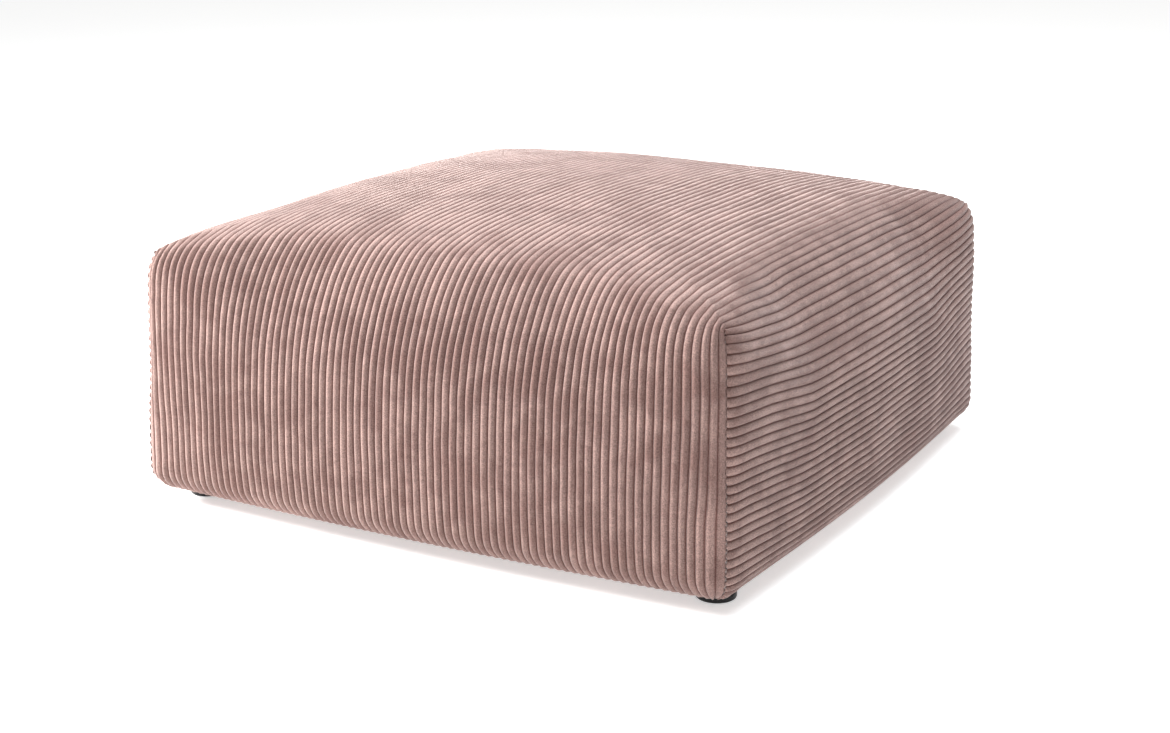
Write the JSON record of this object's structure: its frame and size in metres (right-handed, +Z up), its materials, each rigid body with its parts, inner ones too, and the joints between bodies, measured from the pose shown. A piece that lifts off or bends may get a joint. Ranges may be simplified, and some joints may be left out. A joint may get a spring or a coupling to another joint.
{
  "type": "square corduroy pouf",
  "caption": "Low square upholstered pouf in wide-wale corduroy, with a crowned top, soft rolled edges and corner seams, on round glides.",
  "frame": {"origin": "on the floor under the middle of the pouf", "axes": "+Z up; the front, where the wales run down, faces -Y; +X points to the right side, where the wales lie level"},
  "size_m": [1.0074, 1.0074, 0.454],
  "materials": {
    "corduroy": "matt pile in dusty rose, wide wales",
    "glide_plastic": "satin black"
  },
  "bodies": {
    "root": {"pouf_body": "corduroy", "glide_front_left": "glide_plastic", "glide_front_right": "glide_plastic", "glide_back_left": "glide_plastic", "glide_back_right": "glide_plastic"}
  },
  "joints": []
}
